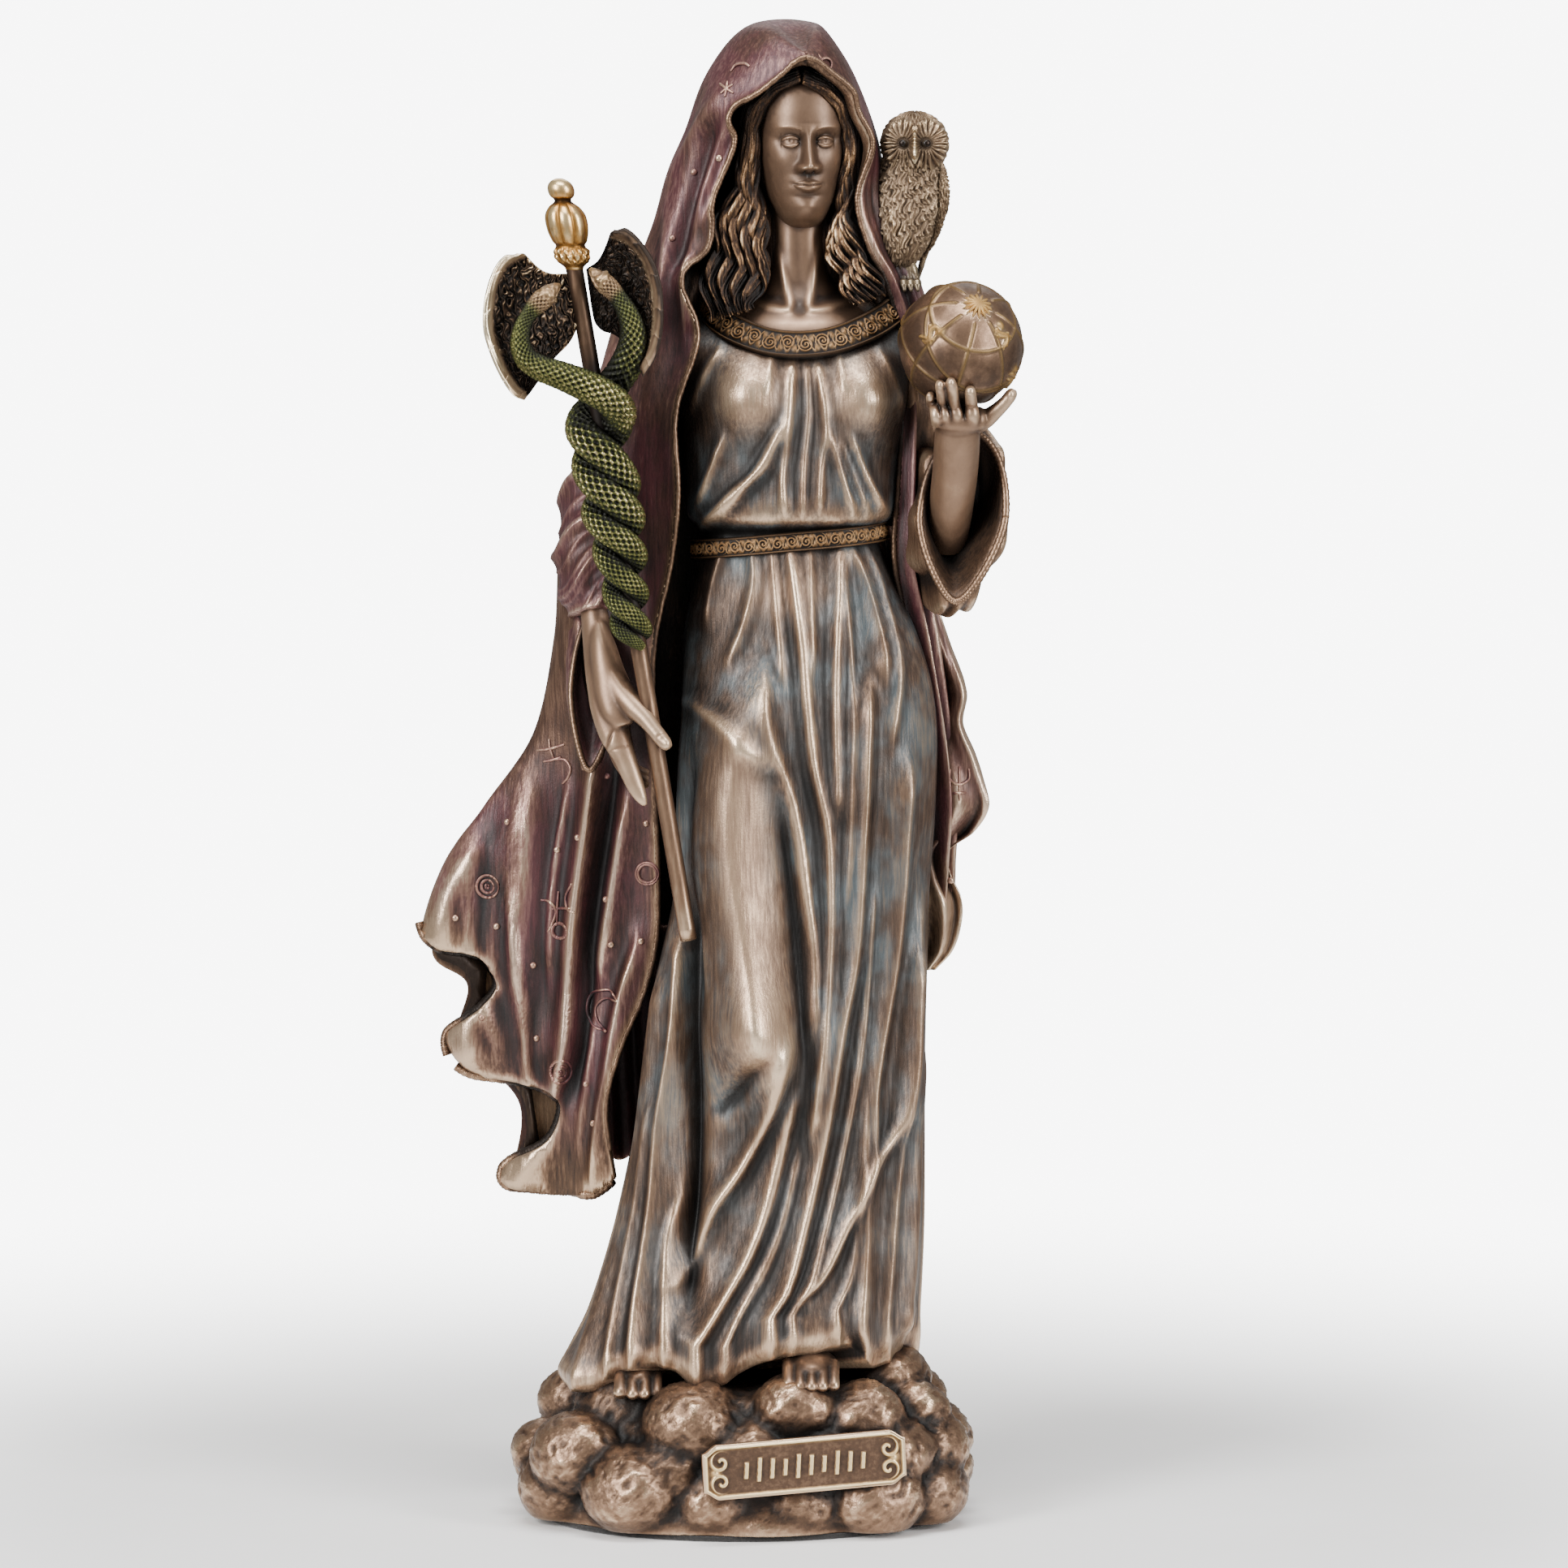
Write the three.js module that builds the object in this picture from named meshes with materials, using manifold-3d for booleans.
import * as THREE from 'three'
import { mergeVertices } from 'three/addons/utils/BufferGeometryUtils.js'
import Module from 'manifold-3d'

const wasm = await Module()
wasm.setup()

// A cold-cast figurine of a veiled goddess on clouds. Millimetres; +X is the viewer's right,
// -Y faces the viewer, Z is up, and the origin is the middle of the underside.
const padThick = 1
const castBottom = 1.2
const gap = 0.3
const clothThick = 2.4

const face = { x: 11, y: -2, chinZ: 248.6, turn: 0.14 }

const globe = { x: 41, y: -19, z: 225.1, radius: 11.6 }
const owl = { x: 31.6, y: -3, footZ: 234.6, high: 33.5 }

const rodTip = new THREE.Vector3(-10.1, -18.6, 112.8)
const rodTop = new THREE.Vector3(-31.7, -28.8, 243.4)
const rodRadius = 1.6

const plate = { x: 11.7, y: -34, z: 15.2, long: 39, high: 10.4, thick: 1.6, turn: 0.22, roll: 0.05 }
const base = { x: 0, y: -3, halfWide: 40, halfDeep: 30.5 }

const goddessTriangles = 5200
const caduceusTriangles = 1900
const owlTriangles = 600

// Places where the surface keeps more of its triangles: x, y, z and reach of the face and hands.
const finePlaces = [[11, -12, 262, 14], [-19, -21, 150, 13], [42, -24, 214, 13]]

const bronze = { color: 0x6b5141, roughness: 0.42, metalness: 0.75 }
const gilt = { color: 0xc9a873, roughness: 0.35, metalness: 0.85 }
const greenBronze = { color: 0x6a6b3f, roughness: 0.45, metalness: 0.6 }
const darkBronze = { color: 0x4f4336, roughness: 0.5, metalness: 0.6 }
const blackFelt = { color: 0x16130f, roughness: 0.95, metalness: 0 }

const clamp = THREE.MathUtils.clamp
const lerp = THREE.MathUtils.lerp
const smooth = THREE.MathUtils.smoothstep

function vec(x, y, z) {
  return new THREE.Vector3(x, y, z)
}

// The row of a table at a key, on a smooth curve through the rows; the keys in column 0 rise.
function station(rows, key) {
  const last = rows.length - 1
  let i = 0
  while (i < last - 1 && key > rows[i + 1][0]) i += 1
  const before = rows[Math.max(i - 1, 0)]
  const low = rows[i]
  const high = rows[i + 1]
  const after = rows[Math.min(i + 2, last)]
  const span = high[0] - low[0]
  const t = clamp((key - low[0]) / span, 0, 1)
  return low.map((start, j) => {
    const end = high[j]
    const slopeIn = ((end - before[j]) / (high[0] - before[0])) * span
    const slopeOut = ((after[j] - start) / (after[0] - low[0])) * span
    const t2 = t * t
    const t3 = t2 * t
    return start * (2 * t3 - 3 * t2 + 1) + slopeIn * (t3 - 2 * t2 + t)
      + end * (3 * t2 - 2 * t3) + slopeOut * (t3 - t2)
  })
}

function bell(distance) {
  return Math.exp(-distance * distance)
}

// The height of folds at a point of the front view. A fold is a path of [z, x] points.
function foldHeight(folds, x, z) {
  let total = 0
  for (const fold of folds) {
    const low = fold.path[0][0]
    const top = fold.path[fold.path.length - 1][0]
    const ends = smooth(z, low - fold.fade, low + fold.fade) * (1 - smooth(z, top - fold.fade, top
        + fold.fade))
    const middle = station(fold.path, clamp(z, low, top))[1]
    total += fold.high * ends * Math.exp(-(Math.abs((x - middle) / fold.wide) ** 1.7))
  }
  return total
}

// The height of rounded forms at a point of the front view.
function moundHeight(mounds, x, z) {
  let total = 0
  for (const mound of mounds) {
    total += mound.high * bell(Math.hypot((x - mound.x) / mound.wide, (z - mound.z) / mound.tall))
  }
  return total
}

// A closed mesh from points and triangles, with its faces turned outward.
function closedMesh(points, triangles) {
  const geometry = new THREE.BufferGeometry()
  const places = new Float32Array(points.flatMap((p) => [p.x, p.y, p.z]))
  geometry.setAttribute('position', new THREE.BufferAttribute(places, 3))
  geometry.setIndex(triangles.flat())
  return outward(geometry.toNonIndexed())
}

function outward(source) {
  source.deleteAttribute('normal')
  source.deleteAttribute('uv')
  const geometry = mergeVertices(source, 1e-4)
  const place = geometry.getAttribute('position')
  const index = geometry.getIndex().array
  const a = new THREE.Vector3()
  const b = new THREE.Vector3()
  const c = new THREE.Vector3()
  const kept = []
  let volume = 0
  for (let i = 0; i < index.length; i += 3) {
    const [p, q, r] = [index[i], index[i + 1], index[i + 2]]
    if (p === q || q === r || r === p) continue
    a.fromBufferAttribute(place, p)
    b.fromBufferAttribute(place, q)
    c.fromBufferAttribute(place, r)
    volume += a.dot(b.cross(c))
    kept.push(p, q, r)
  }
  if (volume < 0) kept.reverse()
  geometry.setIndex(kept)
  return geometry
}

function solid(geometry) {
  return new wasm.Manifold(new wasm.Mesh({
    numProp: 3,
    vertProperties: new Float32Array(geometry.getAttribute('position').array),
    triVerts: new Uint32Array(geometry.getIndex().array),
  }))
}

function unite(geometries) {
  return geometries.map(solid).reduce((sum, next) => sum.add(next))
}

// The outer skin of a solid: its largest connected surface, without loose crumbs or inner hollows.
function outerSkin(body) {
  const mesh = body.getMesh()
  const triangles = mesh.triVerts
  const parent = Array.from({ length: mesh.vertProperties.length / 3 }, (_, i) => i)
  const root = (i) => {
    while (parent[i] !== i) {
      parent[i] = parent[parent[i]]
      i = parent[i]
    }
    return i
  }
  for (let i = 0; i < triangles.length; i += 3) {
    parent[root(triangles[i + 1])] = root(triangles[i])
    parent[root(triangles[i + 2])] = root(triangles[i])
  }
  const counts = new Map()
  for (let i = 0; i < triangles.length; i += 3) {
    counts.set(root(triangles[i]), (counts.get(root(triangles[i])) ?? 0) + 1)
  }
  const largest = [...counts.entries()].sort((p, q) => q[1] - p[1])[0][0]
  const kept = []
  for (let i = 0; i < triangles.length; i += 3) {
    if (root(triangles[i]) === largest) kept.push(triangles[i], triangles[i + 1], triangles[i + 2])
  }
  const geometry = new THREE.BufferGeometry()
  geometry.setAttribute('position', new THREE.BufferAttribute(new Float32Array(mesh.vertProperties), 3))
  geometry.setIndex(kept)
  return geometry.toNonIndexed()
}

// The squared distance of a point to the planes that a quadric sums.
function planeError(q, p) {
  return q[0] * p.x * p.x + q[4] * p.y * p.y + q[7] * p.z * p.z + q[9]
    + 2 * (q[1] * p.x * p.y + q[2] * p.x * p.z + q[5] * p.y * p.z + q[3] * p.x + q[6] * p.y + q[8] * p.z)
}

// A closed surface with fewer triangles: edges are drawn together where the form changes least.
function thinned(source, target) {
  const geometry = mergeVertices(source, 1e-5)
  const place = geometry.getAttribute('position')
  const points = Array.from({ length: place.count }, (_, i) => vec(place.getX(i), place.getY(i),
      place.getZ(i)))
  const index = geometry.getIndex().array
  let faces = []
  for (let i = 0; i < index.length; i += 3) faces.push([index[i], index[i + 1], index[i + 2]])
  const normalOf = (a, b, c) => new THREE.Vector3().crossVectors(b.clone().sub(a), c.clone().sub(a))
  const quadrics = points.map(() => new Float64Array(10))
  for (const face of faces) {
    const [a, b, c] = face.map((i) => points[i])
    const normal = normalOf(a, b, c)
    const area = normal.length()
    if (area < 1e-9) continue
    normal.divideScalar(area)
    const n = [normal.x, normal.y, normal.z, -normal.dot(a)]
    const fine = finePlaces.some(([x, y, z, reach]) => a.distanceTo(vec(x, y, z)) < reach)
    const weight = area * (fine ? 5 : 1)
    let k = 0
    for (let i = 0; i < 4; i += 1) {
      for (let j = i; j < 4; j += 1) {
        for (const corner of face) quadrics[corner][k] += weight * n[i] * n[j]
        k += 1
      }
    }
  }
  for (let pass = 0; pass < 120 && faces.length > target; pass += 1) {
    const around = points.map(() => [])
    faces.forEach((face, i) => face.forEach((corner) => around[corner].push(i)))
    const edges = []
    for (const face of faces) {
      for (let i = 0; i < 3; i += 1) {
        const [a, b] = [face[i], face[(i + 1) % 3]]
        if (a > b) continue
        const sum = quadrics[a].map((value, k) => value + quadrics[b][k])
        const middle = points[a].clone().add(points[b]).multiplyScalar(0.5)
        const spots = [points[a], points[b], middle]
        const slopes = new THREE.Matrix3().set(sum[0], sum[1], sum[2], sum[1], sum[4], sum[5], sum[2],
            sum[5], sum[7])
        const flattest = vec(-sum[3], -sum[6], -sum[8])
        if (Math.abs(slopes.determinant()) > 1e-4) {
          flattest.applyMatrix3(slopes.invert())
          if (flattest.distanceTo(middle) < points[a].distanceTo(points[b])) spots.push(flattest)
        }
        const choices = spots.map((p) => [planeError(sum, p), p])
        const [error, spot] = choices.reduce((best, next) => (next[0] < best[0] ? next : best))
        edges.push([error + 0.00015 * points[a].distanceToSquared(points[b]), a, b, spot, sum])
      }
    }
    edges.sort((p, q) => p[0] - q[0])
    const locked = new Uint8Array(points.length)
    const dead = new Uint8Array(faces.length)
    let left = faces.length
    const enough = Math.max(target, faces.length * 0.93)
    for (const [, a, b, spot, sum] of edges) {
      if (left <= enough) break
      if (locked[a] || locked[b]) continue
      const ringA = new Set(around[a].flatMap((i) => faces[i]))
      const ringB = new Set(around[b].flatMap((i) => faces[i]))
      const shared = [...ringA].filter((i) => ringB.has(i) && i !== a && i !== b)
      if (shared.length !== 2 || [...ringA, ...ringB].some((i) => locked[i])) continue
      const turns = [...around[a], ...around[b]].some((i) => {
        const face = faces[i]
        if (face.includes(a) && face.includes(b)) return false
        const before = face.map((corner) => points[corner])
        const after = face.map((corner) => (corner === a || corner === b ? spot : points[corner]))
        const was = normalOf(...before)
        const is = normalOf(...after)
        const longest = Math.max(...after.map((p, j) => p.distanceToSquared(after[(j + 1) % 3])))
        return is.length() < 0.03 * longest || was.normalize().dot(is.normalize()) < 0.35
      })
      if (turns) continue
      for (const i of around[b]) {
        if (faces[i].includes(a)) {
          dead[i] = 1
          left -= 1
        } else faces[i] = faces[i].map((corner) => (corner === b ? a : corner))
      }
      points[a] = spot.clone()
      quadrics[a] = sum
      for (const i of [...ringA, ...ringB]) locked[i] = 1
    }
    faces = faces.filter((_, i) => !dead[i])
  }
  return closedMesh(points, faces)
}

// A skin over rings of points, closed by a fan at each end.
function ringSkin(rings) {
  const count = rings[0].length
  const points = rings.flat()
  const triangles = []
  for (let i = 0; i < rings.length - 1; i += 1) {
    for (let j = 0; j < count; j += 1) {
      const k = (j + 1) % count
      const p = i * count
      const q = p + count
      triangles.push([p + j, p + k, q + k], [p + j, q + k, q + j])
    }
  }
  const ends = [[0, 1], [(rings.length - 1) * count, 0]]
  for (const [start, turned] of ends) {
    const middle = new THREE.Vector3()
    for (let j = 0; j < count; j += 1) middle.addScaledVector(points[start + j], 1 / count)
    points.push(middle)
    const hub = points.length - 1
    for (let j = 0; j < count; j += 1) {
      const k = (j + 1) % count
      triangles.push(turned ? [hub, start + k, start + j] : [hub, start + j, start + k])
    }
  }
  return closedMesh(points, triangles)
}

// A sheet of cloth between two grids of points, closed along its four edges.
function sheetSkin(front, back) {
  const rows = front.length
  const columns = front[0].length
  const points = [...front.flat(), ...back.flat()]
  const half = rows * columns
  const triangles = []
  const quad = (p, q, r, s) => triangles.push([p, q, r], [p, r, s])
  for (let i = 0; i < rows - 1; i += 1) {
    for (let j = 0; j < columns - 1; j += 1) {
      const p = i * columns + j
      quad(p, p + 1, p + columns + 1, p + columns)
      quad(half + p + columns, half + p + columns + 1, half + p + 1, half + p)
    }
    const left = i * columns
    const right = left + columns - 1
    quad(left, left + columns, half + left + columns, half + left)
    quad(right + columns, right, half + right, half + right + columns)
  }
  for (let j = 0; j < columns - 1; j += 1) {
    const bottom = (rows - 1) * columns + j
    quad(j + 1, j, half + j, half + j + 1)
    quad(bottom, bottom + 1, half + bottom + 1, half + bottom)
  }
  return closedMesh(points, triangles)
}

// A rounded limb, lock or fold along a smooth line. Each row of the line is x, y, z, half width
// and half thickness; side is the direction that the half width starts in.
function limb(line, sides, steps, side = vec(1, 0, 0)) {
  const rows = line.map((row, i) => [i, ...row])
  const across = side.clone()
  const rings = []
  for (let i = 0; i <= steps; i += 1) {
    const key = (i / steps) * (line.length - 1)
    const [, x, y, z, wide, thick] = station(rows, key)
    const ahead = station(rows, Math.min(key + 0.05, line.length - 1))
    const behind = station(rows, Math.max(key - 0.05, 0))
    const along = vec(ahead[1] - behind[1], ahead[2] - behind[2], ahead[3] - behind[3]).normalize()
    across.addScaledVector(along, -across.dot(along)).normalize()
    const out = new THREE.Vector3().crossVectors(along, across)
    const ring = []
    for (let j = 0; j < sides; j += 1) {
      const angle = (j / sides) * 2 * Math.PI
      ring.push(vec(x, y, z)
        .addScaledVector(across, wide * Math.cos(angle))
        .addScaledVector(out, thick * Math.sin(angle)))
    }
    rings.push(ring)
  }
  return ringSkin(rings)
}

function ball(x, y, z, rx, ry, rz, round = 10, tall = 7) {
  const geometry = new THREE.SphereGeometry(1, round, tall)
  geometry.rotateX(Math.PI / 2)
  geometry.scale(rx, ry, rz)
  geometry.translate(x, y, z)
  return outward(geometry)
}

// The robe

// Outline of the gown and body: height, left, right, front, back.
const robeStations = [
  [22, -33, 30, -19, 20],
  [27, -35.3, 31, -21.5, 20],
  [31, -33.6, 33, -21.8, 19.5],
  [38, -30, 33.2, -21.3, 18.5],
  [48, -26.5, 33.7, -20, 17.5],
  [58, -23.8, 34.1, -18.8, 16.5],
  [72, -21, 34.3, -18, 15.5],
  [88, -18.8, 34.5, -18, 15],
  [104, -16.5, 35, -18, 14.5],
  [120, -13, 35.5, -18.6, 14.5],
  [135, -12, 36.6, -18.6, 15],
  [150, -11.5, 37, -18, 15],
  [160, -11.5, 36, -17.4, 14.2],
  [170, -11, 33.2, -16.2, 13],
  [178, -9.5, 29.6, -15, 11.5],
  [185, -8.5, 26.6, -14, 10.5],
  [189, -8.2, 26, -13.6, 10],
  [192, -10.3, 28.6, -17, 10.8],
  [198, -11, 29.4, -17.6, 11.5],
  [206, -11.5, 30, -16.8, 12],
  [214, -12.5, 31, -15.8, 12.5],
  [222, -15, 33, -14.5, 12],
  [227, -13.5, 31.5, -12, 11],
  [231, -6, 27, -9.5, 9.5],
  [234, 1, 21, -6, 8],
]

const robeMounds = [
  { x: 1.6, z: 215.5, wide: 7, tall: 7.5, high: 5.6 },
  { x: 22.3, z: 215, wide: 6.6, tall: 7.5, high: 5.6 },
  { x: 9.5, z: 174, wide: 13, tall: 11, high: 1.6 },
  { x: 2.4, z: 101, wide: 9, tall: 14, high: 3.4 },
  { x: 27, z: 152, wide: 9, tall: 18, high: 1.5 },
]

// Folds of the gown in the front view, the long ones first, from the left.
const robeFolds = [
  { path: [[28, -31], [43, -26.6], [65, -20.6], [90, -17], [104, -15]], wide: 2.2, high: 1.8, fade: 5,
      guide: true },
  { path: [[31, -20.5], [45, -19], [63, -16.2], [78, -14.6], [95, -12], [112, -11]],
    wide: 1.9, high: 2.8, fade: 4, guide: true },
  { path: [[44, -10.4], [60, -9.6], [90, -9.2], [118, -9.6]], wide: 2.2, high: -4.6, fade: 8, guide: true },
  { path: [[46, -12], [61, -5.4], [68, -0.7], [76, 3.6], [82, 6.1], [93, 9.1]],
    wide: 2.2, high: 2.6, fade: 5, guide: true },
  { path: [[34, -8.5], [45, -2.5], [55, 2.4], [64, 5.4], [82, 9.6]], wide: 2.2, high: 2.4, fade: 5,
      guide: true },
  { path: [[75, 13], [101, 15.9], [131, 16.3], [147, 13.4], [168, 11.3], [186, 9]],
    wide: 2, high: 2, fade: 5, guide: true },
  { path: [[36, 5.4], [45, 8.5], [73, 15.1], [96, 18.8], [110, 21.2], [136, 22.7], [160, 23.4]],
    wide: 2.2, high: 2.6, fade: 6, guide: true },
  { path: [[42, 12], [55, 18.2], [70, 23.9], [85, 24.8], [112, 28.7], [145, 30.7]],
    wide: 2.2, high: 2.3, fade: 6, guide: true },
  { path: [[36, 22.1], [54, 23], [68, 24.2], [79, 29.7], [109, 32.1]], wide: 2, high: 2, fade: 6,
      guide: true },
  { path: [[36, 31], [66, 32.6], [91, 33.6]], wide: 1.8, high: 1.5, fade: 6, guide: true },
  { path: [[84, 4], [100, 2.6], [115, 1], [130, -0.6], [145, 0.4], [166, 4]], wide: 9, high: 5.6,
      fade: 17 },
  { path: [[137, 18], [157, 17.5], [175, 17.8], [187, 18]], wide: 1.8, high: 1.7, fade: 4 },
  { path: [[162, 26.5], [168, 25.9], [179, 23], [187, 20.1]], wide: 1.9, high: 1.5, fade: 4 },
  { path: [[95, 13.6], [110, 13.7], [122, 12.3], [138, 10], [153, 5.8], [163, 4.8]], wide: 2, high: 1.6,
      fade: 5 },
  { path: [[146, 4.7], [151, 0.7], [155, -3.9], [157, -8]], wide: 4, high: 1.4, fade: 3 },
  { path: [[34, -14.6], [54, -13.8], [64, -11.6]], wide: 1.6, high: 1.4, fade: 5 },
  { path: [[190, -7], [197, -1.4], [202, 4.1], [210, 7.7]], wide: 1.8, high: 1.6, fade: 3 },
  { path: [[193, 8], [200, 7.7], [206, 8.5], [222, 9.5]], wide: 1.6, high: 1.4, fade: 3 },
  { path: [[194, 14.5], [202, 14.8], [210, 15.5], [222, 14]], wide: 1.6, high: 1.4, fade: 3 },
  { path: [[193, 20.7], [199, 18.9], [208, 16.3]], wide: 1.5, high: 1.2, fade: 3 },
  { path: [[193, 26.3], [201, 22.5], [208, 19.6]], wide: 1.6, high: 1.3, fade: 3 },
  { path: [[194, -8.1], [200, -5.8], [207, -3.2]], wide: 1.5, high: 1.2, fade: 3 },
]

const robeRound = 2.35
const robeLow = 25
const robeTop = 233
const hemFolds = 11

function robePoint(u, z, side) {
  const [, left, right, front, back] = station(robeStations, z)
  const half = (right - left) / 2
  const middleY = -3
  const reach = side < 0 ? middleY - front : back - middleY
  const v = side * (1 - Math.abs(u) ** robeRound) ** (1 / robeRound)
  const x = (left + right) / 2 + half * u
  const y = middleY + reach * v
  const out = vec(Math.sign(u) * Math.abs(u) ** (robeRound - 1) / half,
    side * Math.abs(v) ** (robeRound - 1) / reach, 0).normalize()
  const toFront = smooth(-v, 0.05, 0.5)
  const carved = foldHeight(robeFolds, x, z) + moundHeight(robeMounds, x, z)
  const fall = 1.9 * smooth(150 - z, 0, 110)
  const rear = fall * (Math.cos(hemFolds * Math.acos(clamp(u, -1, 1)) + 0.012 * z) - 0.2)
      * smooth(v, -0.2, 0.3)
  const push = carved * toFront + rear
  return vec(x + out.x * push, y + out.y * push, z)
}

// The front hem, lifted over the feet: x and height.
const hemLine = [[-35.5, 26.6], [-28.6, 25.8], [-24.7, 29], [-18, 31.6], [-13, 30.8], [-8.5, 27.6],
    [-4, 28],
  [0, 30.6], [6.2, 33.6], [13, 34], [20, 35], [23.9, 30.6], [27.8, 31.6], [33, 34.5]]
const hemBlend = 52

function hemLift(x, z) {
  const [, hem] = station(hemLine, x)
  return (hem - robeLow) * (1 - smooth(z, robeLow, hemBlend))
}

// Places across the front at a height, from -1 to 1, with one on each long fold and one between.
function frontPlaces(z) {
  const across = (path) => {
    const key = clamp(z, path[0][0], path[path.length - 1][0])
    const [, left, right] = station(robeStations, key)
    return (2 * station(path, key)[1] - left - right) / (right - left)
  }
  const apart = 0.055
  const folds = robeFolds.filter((fold) => fold.guide).map((fold) => across(fold.path))
  for (let i = 1; i < folds.length; i += 1) folds[i] = Math.max(folds[i], folds[i - 1] + apart)
  for (let i = folds.length - 1; i >= 0; i -= 1) {
    folds[i] = Math.min(folds[i], 0.95 - (folds.length - 1 - i) * apart)
  }
  const stops = [-0.98, ...folds, 0.98]
  const places = [-1]
  for (let i = 1; i < stops.length; i += 1) {
    for (let j = 0; j < 4; j += 1) places.push(lerp(stops[i - 1], stops[i], j / 4))
  }
  return [...places, 0.98]
}

function robe() {
  const levels = []
  for (let z = robeLow; z <= robeTop; z += 3.25) levels.push(z)
  const backSteps = 24
  const rings = levels.map((z) => {
    const ring = frontPlaces(z).map((u) => robePoint(u, z, -1))
    for (let i = 0; i < backSteps; i += 1) ring.push(robePoint(Math.cos((Math.PI * i) / backSteps), z, 1))
    for (const point of ring) {
      if (point.y < 0) point.z += hemLift(point.x, z)
    }
    return ring
  })
  return ringSkin(rings)
}

const bandLine = [
  [-7, 2, 233, 2.4, 1],
  [-5.5, -6, 231, 2.6, 1],
  [-1.5, -12, 228, 2.7, 1],
  [4.5, -15.2, 225.9, 2.7, 1],
  [10.8, -16, 225.3, 2.7, 1],
  [17.4, -15.2, 226, 2.7, 1],
  [23.6, -12, 228.2, 2.7, 1],
  [28.2, -6, 231.2, 2.6, 1],
  [29.5, 2, 233.4, 2.4, 1],
]

const beltLine = [
  [-9.5, 0, 186.2, 1.9, 0.9],
  [-8.4, -9, 186.4, 1.9, 0.9],
  [-1, -14.7, 187, 1.9, 0.9],
  [9, -15.9, 187.8, 1.9, 0.9],
  [19, -14.8, 188.6, 1.9, 0.9],
  [26, -9, 189.4, 1.9, 0.9],
  [27.5, 0, 190, 1.9, 0.9],
]

function collarAndBelt() {
  return [limb(bandLine, 8, 20, vec(0, -0.45, 1)), limb(beltLine, 8, 16, vec(0, 0, 1))]
}

// The head, neck and hair

// Outline of the head above the chin: height, half width, front, back.
const headStations = [
  [-2.5, 3, 5.5, 4],
  [0, 4.4, 9, 5],
  [1.8, 5.6, 10.2, 6],
  [3.4, 6.6, 9.9, 7],
  [5.7, 7.5, 10.5, 8.5],
  [8.5, 8.4, 10.4, 9.5],
  [11.5, 9.1, 10.7, 10.5],
  [14.7, 9.5, 10.9, 11],
  [17.5, 9.6, 11.6, 11],
  [21, 9.4, 11.5, 11],
  [25, 8.4, 9.8, 9.5],
  [28, 5.8, 6.4, 6.5],
  [29, 2.5, 3, 3],
]

const faceMounds = [
  { x: 0, z: 9.6, wide: 1.35, tall: 1.5, high: 2.4 },
  { x: 0, z: 12, wide: 1, tall: 3, high: 1.5 },
  { x: 3.8, z: 14.6, wide: 2.2, tall: 1.5, high: -1.3 },
  { x: -3.8, z: 14.6, wide: 2.2, tall: 1.5, high: -1.3 },
  { x: 3.8, z: 14.5, wide: 1.3, tall: 0.8, high: 0.6 },
  { x: -3.8, z: 14.5, wide: 1.3, tall: 0.8, high: 0.6 },
  { x: 0, z: 6.3, wide: 2.4, tall: 0.7, high: 0.8 },
  { x: 0, z: 4.7, wide: 1.9, tall: 0.8, high: 0.9 },
  { x: 0, z: 1.4, wide: 2, tall: 1.5, high: 0.6 },
]

function headPoint(angle, level) {
  const [, half, front, back] = station(headStations, level)
  const across = Math.cos(angle)
  const deep = Math.sin(angle)
  const x = half * Math.sign(across) * Math.abs(across) ** 0.92
  let y = (deep < 0 ? front : back) * Math.sign(deep) * Math.abs(deep) ** 0.92
  if (deep < 0) y -= moundHeight(faceMounds, x, level) * smooth(-deep, 0.1, 0.6)
  return vec(x, y, level)
    .applyAxisAngle(vec(0, 0, 1), face.turn)
    .add(vec(face.x, face.y, face.chinZ))
}

function head() {
  const levels = [-2.5, 0, 1.8, 3.4, 4.7, 5.6, 6.4, 8, 9.6, 11.5, 13.4, 14.6, 16, 17.8, 21, 25, 28, 29]
  const rings = levels.map((level) => {
    const ring = []
    for (let i = 0; i < 18; i += 1) ring.push(headPoint(Math.PI * (1 + i / 18), level))
    for (let i = 0; i < 5; i += 1) ring.push(headPoint((Math.PI * i) / 5, level))
    return ring
  })
  return ringSkin(rings)
}

function neck() {
  return limb([
    [10.8, 1, 222, 16, 15],
    [10.8, -1.5, 227, 13.5, 11],
    [10.8, -2, 230.5, 8.6, 7.4],
    [10.8, -1.6, 234, 5.6, 5.6],
    [10.8, -1, 241, 4.9, 5.2],
    [10.9, -0.5, 250, 5.2, 5.6],
  ], 12, 6)
}

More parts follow.
